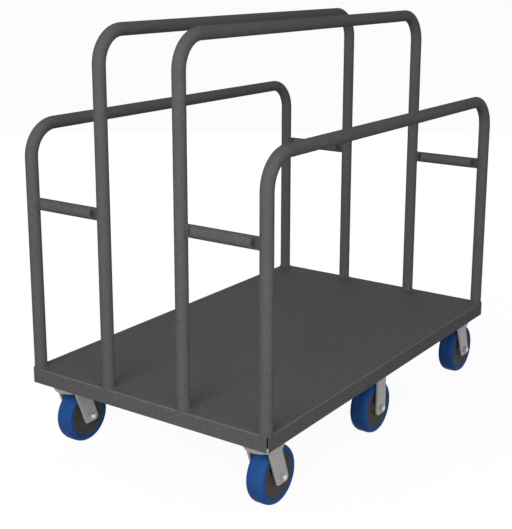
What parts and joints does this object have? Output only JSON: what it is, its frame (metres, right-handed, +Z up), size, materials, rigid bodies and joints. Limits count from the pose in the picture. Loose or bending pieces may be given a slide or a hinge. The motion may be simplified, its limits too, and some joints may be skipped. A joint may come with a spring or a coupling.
{
  "type": "panel cart",
  "caption": "Long steel platform cart with inverted-U tube frames that hold sheets and panels on edge, on swivel corner casters and rigid middle casters.",
  "frame": {"origin": "on the floor, below the middle of the cart's outer box, with the casters trailing towards +X", "axes": "+X along the deck and the tube frames, towards the end where the trailing wheels stand out; +Y across the deck to the left side; +Z up"},
  "size_m": [1.248, 0.762, 1.1432],
  "materials": {
    "powder_coat": "dark grey powder coat with a fine speckle, satin",
    "zinc_plate": "bright zinc plate, slightly dull and warm",
    "bolt_steel": "zinc plated bolt steel, brighter on the ends",
    "blue_tread": "blue moulded polyurethane, satin",
    "core_plastic": "dark brown-grey moulded core, matt"
  },
  "bodies": {
    "cart": {"deck_pan": "powder_coat", "cross_channel_near": "powder_coat", "cross_channel_middle": "powder_coat", "cross_channel_far": "powder_coat", "outer_frame_left": "powder_coat", "inner_frame_left": "powder_coat", "brace_near_left": "powder_coat", "brace_far_left": "powder_coat", "outer_frame_right": "powder_coat", "inner_frame_right": "powder_coat", "brace_near_right": "powder_coat", "brace_far_right": "powder_coat", "top_plate_near_left": "zinc_plate", "ball_race_near_left": "bolt_steel", "kingpin_near_left": "bolt_steel", "top_plate_near_right": "zinc_plate", "ball_race_near_right": "bolt_steel", "kingpin_near_right": "bolt_steel", "top_plate_far_left": "zinc_plate", "ball_race_far_left": "bolt_steel", "kingpin_far_left": "bolt_steel", "top_plate_far_right": "zinc_plate", "ball_race_far_right": "bolt_steel", "kingpin_far_right": "bolt_steel", "rigid_bracket_middle_left": "zinc_plate", "axle_bolt_middle_left": "bolt_steel", "axle_nut_middle_left": "bolt_steel", "axle_sleeve_middle_left": "bolt_steel", "rigid_bracket_middle_right": "zinc_plate", "axle_bolt_middle_right": "bolt_steel", "axle_nut_middle_right": "bolt_steel", "axle_sleeve_middle_right": "bolt_steel"},
    "swivel_near_left": {"swivel_fork_near_left": "zinc_plate", "axle_bolt_near_left": "bolt_steel", "axle_nut_near_left": "bolt_steel", "axle_sleeve_near_left": "bolt_steel"},
    "wheel_near_left": {"wheel_core_near_left": "core_plastic", "wheel_tread_near_left": "blue_tread"},
    "swivel_near_right": {"swivel_fork_near_right": "zinc_plate", "axle_bolt_near_right": "bolt_steel", "axle_nut_near_right": "bolt_steel", "axle_sleeve_near_right": "bolt_steel"},
    "wheel_near_right": {"wheel_core_near_right": "core_plastic", "wheel_tread_near_right": "blue_tread"},
    "swivel_far_left": {"swivel_fork_far_left": "zinc_plate", "axle_bolt_far_left": "bolt_steel", "axle_nut_far_left": "bolt_steel", "axle_sleeve_far_left": "bolt_steel"},
    "wheel_far_left": {"wheel_core_far_left": "core_plastic", "wheel_tread_far_left": "blue_tread"},
    "swivel_far_right": {"swivel_fork_far_right": "zinc_plate", "axle_bolt_far_right": "bolt_steel", "axle_nut_far_right": "bolt_steel", "axle_sleeve_far_right": "bolt_steel"},
    "wheel_far_right": {"wheel_core_far_right": "core_plastic", "wheel_tread_far_right": "blue_tread"},
    "wheel_middle_left": {"wheel_core_middle_left": "core_plastic", "wheel_tread_middle_left": "blue_tread"},
    "wheel_middle_right": {"wheel_core_middle_right": "core_plastic", "wheel_tread_middle_right": "blue_tread"}
  },
  "joints": [
    {"name": "near_left_swivel", "type": "hinge", "parent": "cart", "child": "swivel_near_left", "pos_m": [-0.54482, 0.3134, 0.17], "axis": [0, 0, 1], "continuous": true},
    {"name": "near_left_roll", "type": "hinge", "parent": "swivel_near_left", "child": "wheel_near_left", "pos_m": [-0.51232, 0.3134, 0.07555], "axis": [0, 1, 0], "continuous": true},
    {"name": "near_right_swivel", "type": "hinge", "parent": "cart", "child": "swivel_near_right", "pos_m": [-0.54482, -0.3134, 0.17], "axis": [0, 0, 1], "continuous": true},
    {"name": "near_right_roll", "type": "hinge", "parent": "swivel_near_right", "child": "wheel_near_right", "pos_m": [-0.51232, -0.3134, 0.07555], "axis": [0, 1, 0], "continuous": true},
    {"name": "far_left_swivel", "type": "hinge", "parent": "cart", "child": "swivel_far_left", "pos_m": [0.51598, 0.3134, 0.17], "axis": [0, 0, 1], "continuous": true},
    {"name": "far_left_roll", "type": "hinge", "parent": "swivel_far_left", "child": "wheel_far_left", "pos_m": [0.54848, 0.3134, 0.07555], "axis": [0, 1, 0], "continuous": true},
    {"name": "far_right_swivel", "type": "hinge", "parent": "cart", "child": "swivel_far_right", "pos_m": [0.51598, -0.3134, 0.17], "axis": [0, 0, 1], "continuous": true},
    {"name": "far_right_roll", "type": "hinge", "parent": "swivel_far_right", "child": "wheel_far_right", "pos_m": [0.54848, -0.3134, 0.07555], "axis": [0, 1, 0], "continuous": true},
    {"name": "middle_left_roll", "type": "hinge", "parent": "cart", "child": "wheel_middle_left", "pos_m": [-0.01442, 0.3134, 0.07555], "axis": [0, 1, 0], "continuous": true},
    {"name": "middle_right_roll", "type": "hinge", "parent": "cart", "child": "wheel_middle_right", "pos_m": [-0.01442, -0.3134, 0.07555], "axis": [0, 1, 0], "continuous": true}
  ]
}
